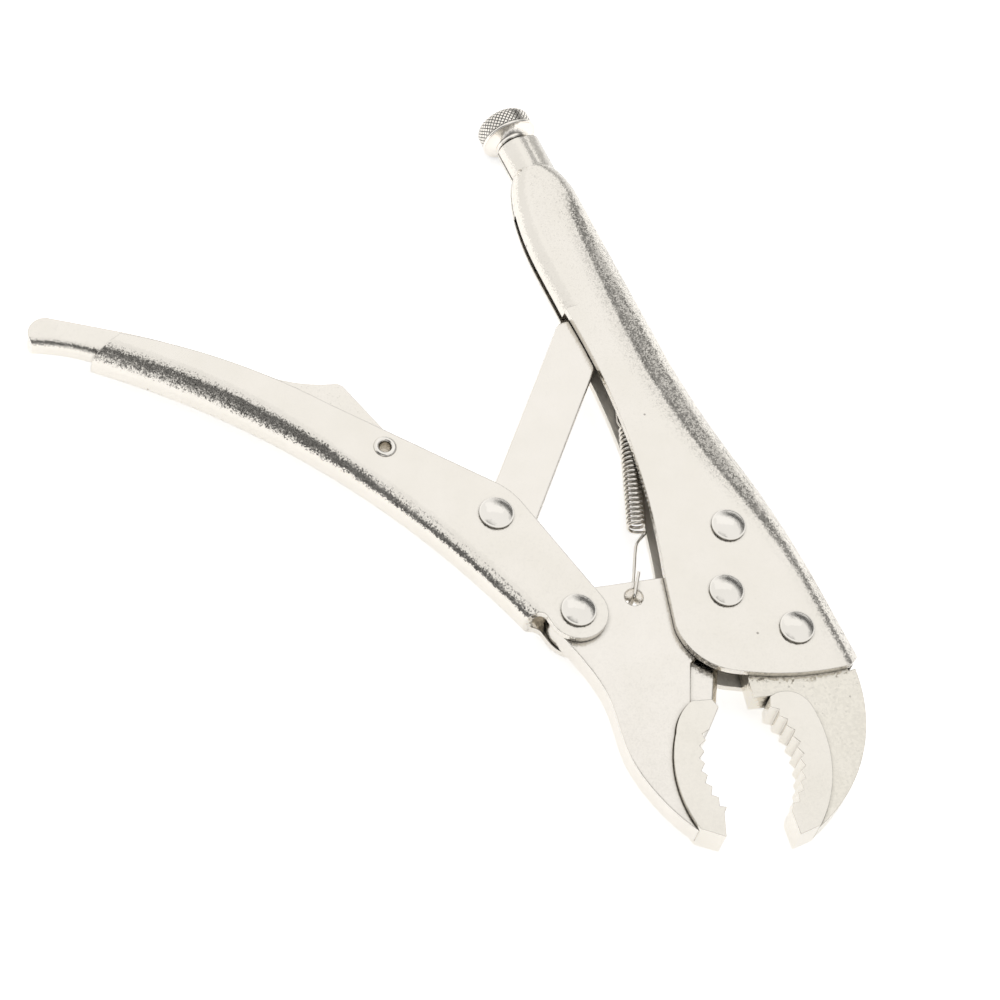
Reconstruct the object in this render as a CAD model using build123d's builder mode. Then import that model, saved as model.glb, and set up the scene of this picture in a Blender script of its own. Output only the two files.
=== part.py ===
from build123d import *
from math import acos, atan2, cos, degrees, hypot, pi, radians, sin
import os

# Locking pliers with curved jaws, lying open on a bench. Sizes are in millimetres.
# X runs along the adjusting screw towards the jaws, Y towards the fixed handle's spine, Z up.
# The origin is on the bench, under the jaw pivot, at the flat end of its rivet.

# Sheet channels and the stack of thicknesses across the tool
CHANNEL_WIDTH = 11.0
SHEET = 2.0
FOLD_RADIUS = 4.4
SIDE_PLAY = 0.2
SEAT_PLAY = 0.05
RUNNING_PLAY = 0.06
RIVET_FIT = 0.02
LINK_THICKNESS = 6.0
PAD_THICKNESS = 9.4

# Rivets: a domed head on top, a flat upset head on the bench side
RIVET_RADIUS = 3.0
RIVET_HEAD_RADIUS = 4.5
RIVET_HEAD_HEIGHT = 1.8
RIVET_FOOT_HEIGHT = 2.5
RIVET_RIM = 0.7
RIVET_EDGE = 0.5

MID_Z = RIVET_FOOT_HEIGHT + CHANNEL_WIDTH / 2
CHANNEL_GAP = CHANNEL_WIDTH - 2 * SHEET
INNER_FOLD = FOLD_RADIUS - SHEET
MOVING_THICKNESS = CHANNEL_GAP - 2 * SIDE_PLAY
SEATED_THICKNESS = CHANNEL_GAP - 2 * SEAT_PLAY
MID_PLANE = Plane.XY.offset(MID_Z)
PAST = 30.0

# Pivots and fixing rivets
JAW_PIVOT = (0.0, 0.0)
REAR_RIVET = (-17.1, 9.3)
FRONT_RIVET = (15.9, 12.5)
HANDLE_PIVOT = (-8.0, -38.8)
LINK_PIVOT = (-40.9, -46.7)
LEVER_PIVOT = (-68.8, -65.7)
CLOSING_ANGLE = 15.5

# Fixed handle: spine, closed grip behind it, swaged neck
SPINE_REAR_Y = 18.9
SPINE_FRONT_Y = 25.3
SPINE_RISE_START_X = -75.0
SPINE_RISE_END_X = 5.0
SPINE_END_X = 27.4
GRIP_LOW_Y = -2.2
GRIP_END_X = -92.5
SHOULDER_X = -127.0
SHOULDER_LENGTH = 15.0
LOW_SHOULDER_X = -108.0
NECK_END_X = -148.5
NECK_RADIUS = 5.2
NECK_LOBE_RADIUS = 4.9
NECK_LOBE_OFFSET = 2.4
GRIP_SLIT = 2.4
NECK_SEAM = 0.6
WALL_REAR = (GRIP_END_X, -2.0)
WALL_MIDDLE = (-48.0, -3.9)
WALL_FRONT = (-10.0, -13.0)
CHEEK_LOW = (4.5, -16.9)
CHEEK_TURN = (15.2, -14.6)
CHEEK_FRONT = (21.8, -7.0)
CHEEK_BULGE = (27.2, 6.0)
CHEEK_TOP = (30.2, 21.0)
CHEEK_CORNER = (28.8, 23.6)

# Jaws and their toothed pads
PIVOT_BOSS = 7.6
BOSS_CLEARANCE = 0.5
REAR_RIVET_BOSS = 8.3
HANDLE_BOSS = 7.2
CUTTER_REACH = 31.2
MOVING_CUTTER_ANGLE = -30.0
CUTTER_GAP_ANGLE = 2.0
FIXED_CUTTER_REACH = 29.8
CUTTER_RECESS = 1.3
CUTTER_RECESS_REAR = ((10.5, -9.5), (14.6, -17.2))
CUTTER_RECESS_START = 5.6
CUTTER_BEVEL = 1.4
JAW_STEP_X = 30.8
JAW_TOP_Y = 20.6
JAW_CROWN_Y = 22.5
FIXED_SEAT_START = (30.3, -1.2)
FIXED_SEAT_HEEL = (31.9, 3.9)
FIXED_SEAT_TURN = (36.2, 6.2)
FIXED_SEAT_MIDDLE = (50.5, 4.4)
FIXED_SEAT_END = (66.9, -7.4)
FIXED_JAW_BULGE = (55.5, 10.6)
FIXED_PAD_HEEL = (30.6, -2.8)
FIXED_TEETH_CENTRE = (41.7, -24.4)
FIXED_TEETH_RADIUS = 21.9
FIXED_TEETH_START = 112.6
FIXED_TEETH_END = 37.8
FIXED_TOOTH_COUNT = 9
MOVING_SEAT_START = (24.7, -22.4)
MOVING_SEAT_HEEL = (27.2, -26.8)
MOVING_SEAT_TURN = (31.2, -30.0)
MOVING_SEAT_MIDDLE = (45.5, -36.2)
MOVING_SEAT_END = (57.0, -36.1)
MOVING_JAW_BELLY = ((46.0, -41.0), (30.0, -43.2), (16.0, -41.2), (4.0, -42.8))
MOVING_PAD_TOP = (26.1, -17.2)
MOVING_PAD_CORNER = (28.6, -16.6)
MOVING_NOSE_IN = (55.2, -28.5)
MOVING_NOSE_TIP = (61.2, -31.0)
MOVING_TEETH_CENTRE = (48.0, -8.3)
MOVING_TEETH_RADIUS = 19.8
MOVING_TEETH_START = 222.6
MOVING_TEETH_END = 287.6
MOVING_TOOTH_COUNT = 7
TOOTH_DEPTH = 1.3
TOOTH_LEAN = 0.6
NOSE_GAP_CLOSED = 0.35

# Movable handle: bowed channel, its spine on one arc
BOW_POINT = (-70.83, -81.32)
BOW_POINT_ANGLE = 124.8
BOW_RADIUS = 231.0
BOW_TAIL_LENGTH = 66.5
BOW_NOTCH_LENGTH = 66.5
TAIL_TOP = (-123.5, -117.1)
BOW_MIDDLE = (-106.5, -94.0)
BOW_END = (-86.0, -74.6)
HANDLE_CORNER = (-46.1, -39.9)
HANDLE_CORNER_RADIUS = 18.0
HANDLE_END_RADIUS = 7.8
HANDLE_EDGE_ANGLE = 13.46
NOTCH_RADIUS = 2.3

# Toggle link: flat strut with an offset eye and a nose behind the screw
LINK_EYE = 7.5
LINK_NOSE = (-86.5, 8.0)
LINK_NOSE_RADIUS = 4.2
LINK_ANGLE = 136.7
LINK_FRONT_OFFSET = 10.3
LINK_WIDTH = 13.7
LINK_FRONT_LENGTH = 58.4
LINK_REAR_LENGTH = 64.3
NOSE_GAP = 1.1

# Release lever: folded sheet in the movable handle
LEVER_SHEET = 1.5
LEVER_FOLD = 2.4
LEVER_BOSS = 4.2
LEVER_LIFT = 0.4
LEVER_FRONT_LENGTH = 21.0
LEVER_TAIL_LOW = (-129.0, -139.0)
LEVER_TAIL_TIP = (-133.9, -138.2)
LEVER_TAIL_TOP = (-134.2, -131.0)
LEVER_BACK_END = (-125.2, -116.5)
LEVER_BACK_MIDDLE = (-109.3, -95.2)
HUMP_FOOT = (-98.3, -83.4)
HUMP_HOLLOW = (-94.0, -75.9)
HUMP_PEAK = (-91.8, -69.0)
HUMP_SHOULDER = (-90.6, -67.9)
EYELET_RADIUS = 2.2
EYELET_BORE = 1.5
EYELET_FLANGE = 3.0
EYELET_FLANGE_HEIGHT = 0.6

# Adjusting screw and knurled knob
SCREW_Y = 10.0
SCREW_RADIUS = 3.2
SCREW_TIP_CHAMFER = 0.8
KNOB_GAP = 0.6
KNOB_RADIUS = 7.9
KNOB_COLLAR_RADIUS = 5.2
KNOB_COLLAR_LENGTH = 1.4
KNOB_TAPER_LENGTH = 1.2
KNOB_BARREL_LENGTH = 4.6
KNOB_CROWN_LENGTH = 1.6
KNOB_FLAT_RADIUS = 3.8
KNOB_BORE_DEPTH = 5.4
KNOB_END_PLAY = 0.5

# Tension spring from the movable jaw to a hook lanced from the fixed handle's lower wall
SPRING_HOLE = (-7.6, -22.6)
SPRING_HOLE_RADIUS = 2.4
SPRING_WIRE = 0.9
SPRING_COIL_RADIUS = 2.3
SPRING_PITCH = 1.4
SPRING_TURNS = 22
SPRING_COIL_START = (-27.2, -11.5)
SPRING_ANCHOR = (-63.5, 3.45)
SPRING_LEAD = 2.25
SPRING_BEND = 1.3
SPRING_SHORT_LEG = 7.0
WIRE_CLEARANCE = 0.3
WIRE_JAW_GAP = 0.45
SPRING_LEVEL_LEG = 9.5
HOOK_ACROSS = 3.0
HOOK_HEIGHT = 5.0
HOOK_WINDOW = 5.0


def polar(centre, radius, angle):
    """A point at a radius and an angle in degrees from a centre in the plane."""
    return (centre[0] + radius * cos(radians(angle)), centre[1] + radius * sin(radians(angle)))


def shifted(point, dx, dy):
    """A point moved by two lengths."""
    return (point[0] + dx, point[1] + dy)


def turned(point, angle):
    """A point turned about the jaw pivot by an angle in degrees."""
    reach = hypot(point[0], point[1])
    return polar(JAW_PIVOT, reach, degrees(atan2(point[1], point[0])) + angle)


def spine_top(drop, end_x):
    """Spine line of the fixed handle from the grip to the front, lowered by drop."""
    rise_start = (SPINE_RISE_START_X, SPINE_REAR_Y - drop)
    rise_end = (SPINE_RISE_END_X, SPINE_FRONT_Y - drop)
    rise_middle = ((rise_start[0] + rise_end[0]) / 2, (rise_start[1] + rise_end[1]) / 2)
    Line((GRIP_END_X, SPINE_REAR_Y - drop), rise_start)
    lower = TangentArc(rise_start, rise_middle, tangent=(1, 0))
    TangentArc(rise_middle, rise_end, tangent=lower % 1)
    Line(rise_end, (end_x, SPINE_FRONT_Y - drop))


def grip_outline(inset):
    """Closed outline of the grip and its shoulder, drawn in by inset."""
    top = SPINE_REAR_Y - inset
    low = GRIP_LOW_Y + inset
    length = SHOULDER_LENGTH - inset
    centre = (SHOULDER_X, SCREW_Y)
    low_centre = (LOW_SHOULDER_X, SCREW_Y)
    low_length = LOW_SHOULDER_X - SHOULDER_X + length
    Line((GRIP_END_X, top), (SHOULDER_X, top))
    EllipticalCenterArc(centre, length, top - SCREW_Y, start_angle=90, arc_size=90)
    EllipticalCenterArc(low_centre, low_length, SCREW_Y - low, start_angle=180, arc_size=90)
    Line((LOW_SHOULDER_X, low), (GRIP_END_X, low))
    Line((GRIP_END_X, low), (GRIP_END_X, top))


def rim_edges(builder, keep):
    """Edges of the top and bottom faces of a block whose centres pass a test."""
    levels = builder.edges().filter_by(Plane.XY).group_by(Axis.Z)
    return [edge for edge in levels[0] + levels[-1] if keep(edge.center())]


def tooth_points(centre, radius, first, last, count):
    """Saw teeth round a centre: tips on the circle, roots one depth behind it."""
    step = (last - first) / count
    points = [polar(centre, radius, first)]
    for tooth in range(count):
        points.append(polar(centre, radius + TOOTH_DEPTH, first + (tooth + TOOTH_LEAN) * step))
        points.append(polar(centre, radius, first + (tooth + 1) * step))
    return points


# Fixed handle: the shell is folded from one sheet, closed round the grip and open at the front
with BuildPart() as grip_block:
    with BuildSketch(MID_PLANE):
        with BuildLine():
            grip_outline(0)
        make_face()
    extrude(amount=CHANNEL_WIDTH / 2, both=True)
    fillet(rim_edges(grip_block, lambda c: c.X < GRIP_END_X - 1), FOLD_RADIUS)

with BuildPart() as handle_hollow:
    with BuildSketch(MID_PLANE):
        with BuildLine():
            grip_outline(SHEET)
        make_face()
    extrude(amount=CHANNEL_GAP / 2, both=True)
    fillet(rim_edges(handle_hollow, lambda c: c.X < GRIP_END_X - 1), INNER_FOLD)

with BuildPart() as channel_hollow:
    with BuildSketch(MID_PLANE):
        with BuildLine():
            spine_top(SHEET, SPINE_END_X + PAST)
            Polyline(
                (SPINE_END_X + PAST, SPINE_FRONT_Y - SHEET),
                (SPINE_END_X + PAST, GRIP_LOW_Y - PAST),
                (GRIP_END_X, GRIP_LOW_Y - PAST),
                (GRIP_END_X, SPINE_REAR_Y - SHEET),
            )
        make_face()
    extrude(amount=CHANNEL_GAP / 2, both=True)
    spine_hollow = SPINE_REAR_Y - SHEET - 1
    fillet(rim_edges(channel_hollow, lambda c: c.Y > spine_hollow), INNER_FOLD)

coil_dx = SPRING_ANCHOR[0] - SPRING_COIL_START[0]
coil_dy = SPRING_ANCHOR[1] - SPRING_COIL_START[1]
coil_axis = Vector(coil_dx, coil_dy, 0).normalized()
coil_side = Vector(0, 0, 1).cross(coil_axis)
anchor = Vector(SPRING_ANCHOR[0], SPRING_ANCHOR[1], MID_Z)
hook_plane = Plane(anchor - Vector(0, 0, CHANNEL_GAP / 2 + SHEET), x_dir=coil_axis, z_dir=(0, 0, 1))

with BuildPart() as fixed_handle:
    with BuildSketch(MID_PLANE):
        with BuildLine():
            spine_top(0, SPINE_END_X)
            Line((SPINE_END_X, SPINE_FRONT_Y), CHEEK_CORNER)
            Line(CHEEK_CORNER, CHEEK_TOP)
            ThreePointArc(CHEEK_TOP, CHEEK_BULGE, CHEEK_FRONT)
            ThreePointArc(CHEEK_FRONT, CHEEK_TURN, CHEEK_LOW)
            Line(CHEEK_LOW, WALL_FRONT)
            ThreePointArc(WALL_FRONT, WALL_MIDDLE, WALL_REAR)
            Line(WALL_REAR, (GRIP_END_X, SPINE_REAR_Y))
        make_face()
    extrude(amount=CHANNEL_WIDTH / 2, both=True)
    fillet(rim_edges(fixed_handle, lambda c: c.Y > SPINE_REAR_Y - 1 and c.X < SPINE_END_X), FOLD_RADIUS)
    add(grip_block.part)
    with BuildSketch(Plane.YZ.offset(SHOULDER_X - SHOULDER_LENGTH / 2)):
        with Locations((SCREW_Y, MID_Z)):
            Circle(NECK_RADIUS)
        with Locations((SCREW_Y + NECK_LOBE_OFFSET, MID_Z)):
            Circle(NECK_LOBE_RADIUS)
    extrude(amount=NECK_END_X - SHOULDER_X + SHOULDER_LENGTH / 2)
    add(handle_hollow.part, mode=Mode.SUBTRACT)
    add(channel_hollow.part, mode=Mode.SUBTRACT)
    with BuildSketch(Plane.YZ.offset(NECK_END_X)):
        with Locations((SCREW_Y, MID_Z)):
            Circle(SCREW_RADIUS + RUNNING_PLAY)
    extrude(amount=SHOULDER_X - NECK_END_X, mode=Mode.SUBTRACT)
    # Open slit along the grip, and the seam where the sheet meets round the neck
    with BuildSketch(MID_PLANE):
        with Locations(((SHOULDER_X + GRIP_END_X) / 2, SCREW_Y - PAST / 2)):
            Rectangle(GRIP_END_X - SHOULDER_X, PAST)
    extrude(amount=GRIP_SLIT / 2, both=True, mode=Mode.SUBTRACT)
    with BuildSketch(MID_PLANE):
        with Locations(((SHOULDER_X + NECK_END_X) / 2, SCREW_Y - PAST / 2)):
            Rectangle(SHOULDER_X - NECK_END_X, PAST)
    extrude(amount=NECK_SEAM / 2, both=True, mode=Mode.SUBTRACT)
    # Window in the lower wall, and the tongue bent up from it that holds the spring
    with BuildSketch(hook_plane):
        with Locations((SHEET / 2 + HOOK_WINDOW / 2, 0)):
            Rectangle(HOOK_WINDOW, HOOK_ACROSS)
    extrude(amount=SHEET, mode=Mode.SUBTRACT)
    with BuildSketch(hook_plane):
        Rectangle(SHEET, HOOK_ACROSS)
    extrude(amount=SHEET + HOOK_HEIGHT)
    with BuildSketch(MID_PLANE):
        with Locations(JAW_PIVOT, REAR_RIVET, FRONT_RIVET):
            Circle(RIVET_RADIUS + RIVET_FIT)
    extrude(amount=CHANNEL_WIDTH, both=True, mode=Mode.SUBTRACT)
fixed_handle.part.label = "fixed_handle"

# Fixed jaw: plate between the channel's walls, cut away round the jaw pivot
fixed_nose_in = shifted(turned(MOVING_NOSE_IN, CLOSING_ANGLE), 0, NOSE_GAP_CLOSED)
fixed_nose_tip = shifted(turned(MOVING_NOSE_TIP, CLOSING_ANGLE), 0, NOSE_GAP_CLOSED)
boss_gap = PIVOT_BOSS + BOSS_CLEARANCE
fixed_cutter_angle = MOVING_CUTTER_ANGLE + CLOSING_ANGLE + CUTTER_GAP_ANGLE
fixed_cutter_root = polar(JAW_PIVOT, boss_gap, fixed_cutter_angle)
fixed_cutter_tip = polar(JAW_PIVOT, FIXED_CUTTER_REACH, fixed_cutter_angle)
boss_gap_start = polar(JAW_PIVOT, boss_gap, 160)


def fixed_seat():
    """Seat of the fixed jaw's pad, from the cutter to the tip."""
    ThreePointArc(FIXED_SEAT_START, FIXED_SEAT_HEEL, FIXED_SEAT_TURN)
    ThreePointArc(FIXED_SEAT_TURN, FIXED_SEAT_MIDDLE, FIXED_SEAT_END)


with BuildPart() as fixed_jaw:
    with BuildSketch(MID_PLANE):
        with BuildLine():
            ThreePointArc(
                shifted(REAR_RIVET, 0, REAR_RIVET_BOSS),
                shifted(REAR_RIVET, -REAR_RIVET_BOSS, 0),
                shifted(REAR_RIVET, 0, -REAR_RIVET_BOSS),
            )
            Line(shifted(REAR_RIVET, 0, -REAR_RIVET_BOSS), boss_gap_start)
            ThreePointArc(boss_gap_start, polar(JAW_PIVOT, boss_gap, 70), fixed_cutter_root)
            Polyline(fixed_cutter_root, fixed_cutter_tip, FIXED_SEAT_START)
            fixed_seat()
            ThreePointArc(FIXED_SEAT_END, FIXED_JAW_BULGE, (JAW_STEP_X, JAW_CROWN_Y))
            Polyline(
                (JAW_STEP_X, JAW_CROWN_Y),
                (JAW_STEP_X, JAW_TOP_Y),
                shifted(REAR_RIVET, 0, REAR_RIVET_BOSS),
            )
        make_face()
        with Locations(REAR_RIVET, FRONT_RIVET):
            Circle(RIVET_RADIUS + RIVET_FIT, mode=Mode.SUBTRACT)
    extrude(amount=SEATED_THICKNESS / 2, both=True)
fixed_jaw.part.label = "fixed_jaw"

with BuildPart() as fixed_jaw_pad:
    with BuildSketch(MID_PLANE):
        with BuildLine():
            fixed_seat()
            Polyline(
                FIXED_SEAT_START,
                FIXED_PAD_HEEL,
                *tooth_points(
                    FIXED_TEETH_CENTRE,
                    FIXED_TEETH_RADIUS,
                    FIXED_TEETH_START,
                    FIXED_TEETH_END,
                    FIXED_TOOTH_COUNT,
                ),
                fixed_nose_in,
                fixed_nose_tip,
                FIXED_SEAT_END,
            )
        make_face()
    extrude(amount=PAD_THICKNESS / 2, both=True)
fixed_jaw_pad.part.label = "fixed_jaw_pad"

# Movable jaw: plate on the jaw pivot, thinned to a wire-cutter blade in front of it
cutter_tip = polar(JAW_PIVOT, CUTTER_REACH, MOVING_CUTTER_ANGLE)
cutter_root = polar(JAW_PIVOT, PIVOT_BOSS, MOVING_CUTTER_ANGLE)
pivots_apart = hypot(HANDLE_PIVOT[0] - JAW_PIVOT[0], HANDLE_PIVOT[1] - JAW_PIVOT[1])
pivots_angle = degrees(atan2(HANDLE_PIVOT[1] - JAW_PIVOT[1], HANDLE_PIVOT[0] - JAW_PIVOT[0]))
rear_edge_angle = pivots_angle - degrees(acos((PIVOT_BOSS - HANDLE_BOSS) / pivots_apart))
rear_edge_top = polar(JAW_PIVOT, PIVOT_BOSS, rear_edge_angle)
rear_edge_low = polar(HANDLE_PIVOT, HANDLE_BOSS, rear_edge_angle)
belly_start = polar(HANDLE_PIVOT, HANDLE_BOSS, -74)


def moving_seat():
    """Seat of the movable jaw's pad, from the cutter to the tip."""
    ThreePointArc(MOVING_SEAT_START, MOVING_SEAT_HEEL, MOVING_SEAT_TURN)
    ThreePointArc(MOVING_SEAT_TURN, MOVING_SEAT_MIDDLE, MOVING_SEAT_END)


with BuildPart() as movable_jaw:
    with BuildSketch(MID_PLANE):
        with BuildLine():
            ThreePointArc(rear_edge_top, polar(JAW_PIVOT, PIVOT_BOSS, 70), cutter_root)
            Polyline(cutter_root, cutter_tip, MOVING_PAD_TOP, MOVING_SEAT_START)
            moving_seat()
            Spline(MOVING_SEAT_END, *MOVING_JAW_BELLY, belly_start)
            ThreePointArc(belly_start, polar(HANDLE_PIVOT, HANDLE_BOSS, -130), rear_edge_low)
            Line(rear_edge_low, rear_edge_top)
        make_face()
        with Locations(JAW_PIVOT, HANDLE_PIVOT):
            Circle(RIVET_RADIUS + RUNNING_PLAY, mode=Mode.SUBTRACT)
        with Locations(SPRING_HOLE):
            Circle(SPRING_HOLE_RADIUS, mode=Mode.SUBTRACT)
    extrude(amount=MOVING_THICKNESS / 2, both=True)
    blade_face = MOVING_THICKNESS / 2 - CUTTER_RECESS
    for side in (1, -1):
        with BuildSketch(Plane.XY.offset(MID_Z + side * blade_face)):
            with BuildLine():
                Polyline(
                    *CUTTER_RECESS_REAR,
                    MOVING_SEAT_START,
                    MOVING_PAD_TOP,
                    polar(JAW_PIVOT, CUTTER_REACH + 1, MOVING_CUTTER_ANGLE + 3),
                    polar(JAW_PIVOT, PIVOT_BOSS + CUTTER_RECESS_START, MOVING_CUTTER_ANGLE + 5),
                    close=True,
                )
            make_face()
        extrude(amount=side * CUTTER_RECESS, mode=Mode.SUBTRACT)
    edge_reach = (PIVOT_BOSS + CUTTER_RECESS_START + CUTTER_REACH) / 2
    blade_middle = Vector(*polar(JAW_PIVOT, edge_reach, MOVING_CUTTER_ANGLE), MID_Z)
    near_blade = [e for e in movable_jaw.edges() if (e.center() - blade_middle).length < blade_face + 1]
    chamfer([e for e in near_blade if e.length > PIVOT_BOSS], min(CUTTER_BEVEL, 0.8 * blade_face))
movable_jaw.part.label = "movable_jaw"

with BuildPart() as movable_jaw_pad:
    with BuildSketch(MID_PLANE):
        with BuildLine():
            moving_seat()
            Polyline(
                MOVING_SEAT_START,
                MOVING_PAD_TOP,
                MOVING_PAD_CORNER,
                *tooth_points(
                    MOVING_TEETH_CENTRE,
                    MOVING_TEETH_RADIUS,
                    MOVING_TEETH_START,
                    MOVING_TEETH_END,
                    MOVING_TOOTH_COUNT,
                ),
                MOVING_NOSE_IN,
                MOVING_NOSE_TIP,
                MOVING_SEAT_END,
            )
        make_face()
    extrude(amount=PAD_THICKNESS / 2, both=True)
movable_jaw_pad.part.label = "movable_jaw_pad"

# Movable handle: channel bowed along one arc, with its spine cut short at the jaw
bow_centre = polar(BOW_POINT, -BOW_RADIUS, BOW_POINT_ANGLE)
tail_angle = BOW_POINT_ANGLE + degrees(BOW_TAIL_LENGTH / BOW_RADIUS)
notch_angle = BOW_POINT_ANGLE - degrees(BOW_NOTCH_LENGTH / BOW_RADIUS)
tail_low = polar(bow_centre, BOW_RADIUS, tail_angle)
notch_low = polar(bow_centre, BOW_RADIUS, notch_angle)
end_top = polar(HANDLE_PIVOT, HANDLE_END_RADIUS, 90 + HANDLE_EDGE_ANGLE)
end_low = polar(HANDLE_PIVOT, HANDLE_END_RADIUS, -85)
notch_top = shifted(end_low, -1.6, -0.3)
notch_side = shifted(notch_top, -NOTCH_RADIUS, -NOTCH_RADIUS)
notch_turn = shifted(notch_top, -NOTCH_RADIUS * sin(pi / 4), -NOTCH_RADIUS * (1 - cos(pi / 4)))

with BuildPart() as bow_hollow:
    with BuildSketch(MID_PLANE):
        with BuildLine():
            for radius in (BOW_RADIUS + SHEET, BOW_RADIUS + SHEET + PAST):
                ThreePointArc(
                    polar(bow_centre, radius, notch_angle - 10),
                    polar(bow_centre, radius, BOW_POINT_ANGLE),
                    polar(bow_centre, radius, tail_angle + 10),
                )
            for angle in (notch_angle - 10, tail_angle + 10):
                Line(
                    polar(bow_centre, BOW_RADIUS + SHEET, angle),
                    polar(bow_centre, BOW_RADIUS + SHEET + PAST, angle),
                )
        make_face()
    extrude(amount=CHANNEL_GAP / 2, both=True)
    floor_middle = Vector(*polar(bow_centre, BOW_RADIUS + SHEET, BOW_POINT_ANGLE), MID_Z)
    fillet(rim_edges(bow_hollow, lambda c: (c - floor_middle).length < CHANNEL_WIDTH), INNER_FOLD)

with BuildPart() as movable_handle:
    with BuildSketch(MID_PLANE):
        with BuildLine():
            ThreePointArc(tail_low, polar(bow_centre, BOW_RADIUS, BOW_POINT_ANGLE), notch_low)
            Line(notch_low, notch_side)
            ThreePointArc(notch_side, notch_turn, notch_top)
            Line(notch_top, end_low)
            ThreePointArc(end_low, polar(HANDLE_PIVOT, HANDLE_END_RADIUS, 10), end_top)
            FilletPolyline(end_top, HANDLE_CORNER, BOW_END, radius=HANDLE_CORNER_RADIUS)
            ThreePointArc(BOW_END, BOW_MIDDLE, TAIL_TOP)
            Line(TAIL_TOP, tail_low)
        make_face()
    extrude(amount=CHANNEL_WIDTH / 2, both=True)
    rims = movable_handle.edges().filter_by(Plane.XY).group_by(Axis.Z)
    fillet([rims[level].sort_by(SortBy.LENGTH)[-1] for level in (0, -1)], FOLD_RADIUS)
    add(bow_hollow.part, mode=Mode.SUBTRACT)
    with BuildSketch(MID_PLANE):
        with Locations(HANDLE_PIVOT, LINK_PIVOT):
            Circle(RIVET_RADIUS + RIVET_FIT)
        with Locations(LEVER_PIVOT):
            Circle(EYELET_RADIUS + RIVET_FIT)
    extrude(amount=CHANNEL_WIDTH, both=True, mode=Mode.SUBTRACT)
movable_handle.part.label = "movable_handle"

# Toggle link: flat strut whose nose stands just off the tip of the adjusting screw
link_along = (cos(radians(LINK_ANGLE)), sin(radians(LINK_ANGLE)))
link_across = (link_along[1], -link_along[0])


def on_link(along, across):
    """A point on the strut, measured from its eye along and across the bar."""
    return (
        LINK_PIVOT[0] + along * link_along[0] + across * link_across[0],
        LINK_PIVOT[1] + along * link_along[1] + across * link_across[1],
    )


link_rear_offset = LINK_FRONT_OFFSET - LINK_WIDTH
with BuildPart() as toggle_link:
    with BuildSketch(MID_PLANE):
        with BuildLine():
            Polyline(
                on_link(0, LINK_FRONT_OFFSET),
                on_link(LINK_FRONT_LENGTH, LINK_FRONT_OFFSET),
                polar(LINK_NOSE, LINK_NOSE_RADIUS, 55),
                polar(LINK_NOSE, LINK_NOSE_RADIUS, 180),
                on_link(LINK_REAR_LENGTH, link_rear_offset),
                on_link(0, link_rear_offset),
                close=True,
            )
        make_face()
        with Locations(LINK_NOSE):
            Circle(LINK_NOSE_RADIUS)
        with Locations(LINK_PIVOT):
            Circle(LINK_EYE)
            Circle(RIVET_RADIUS + RUNNING_PLAY, mode=Mode.SUBTRACT)
    extrude(amount=LINK_THICKNESS / 2, both=True)
toggle_link.part.label = "toggle_link"

# Release lever: folded tail, two side plates with the hump, turning on the hollow rivet
lever_radius = BOW_RADIUS + SHEET + LEVER_LIFT
web_top = lever_radius + LEVER_SHEET
lever_front_angle = BOW_POINT_ANGLE + degrees(LEVER_FRONT_LENGTH / BOW_RADIUS)
lever_front = polar(bow_centre, lever_radius, lever_front_angle)
lever_exit = polar(bow_centre, lever_radius, tail_angle)
plate_low = polar(bow_centre, BOW_RADIUS + FOLD_RADIUS + SIDE_PLAY, lever_front_angle)
lever_belly_angle = (lever_front_angle + tail_angle) / 2
boss_top = polar(LEVER_PIVOT, LEVER_BOSS, 105.5)
boss_low = polar(LEVER_PIVOT, LEVER_BOSS, -37.3)
lever_space = MOVING_THICKNESS / 2 - LEVER_SHEET
fold_reach = lever_radius + LEVER_SHEET / 2
exit_way = polar((0, 0), 1, tail_angle + 90)
back_way = atan2(LEVER_TAIL_TOP[1] - LEVER_BACK_END[1], LEVER_TAIL_TOP[0] - LEVER_BACK_END[0])
tail_blank = polar(LEVER_TAIL_TOP, PAST / 3, degrees(back_way))


def on_fold(spot):
    """Whether a rim edge with this centre lies along the folded belly."""
    reach = hypot(spot.X - bow_centre[0], spot.Y - bow_centre[1])
    return spot.X < lever_front[0] - 2 and reach < fold_reach


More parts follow.
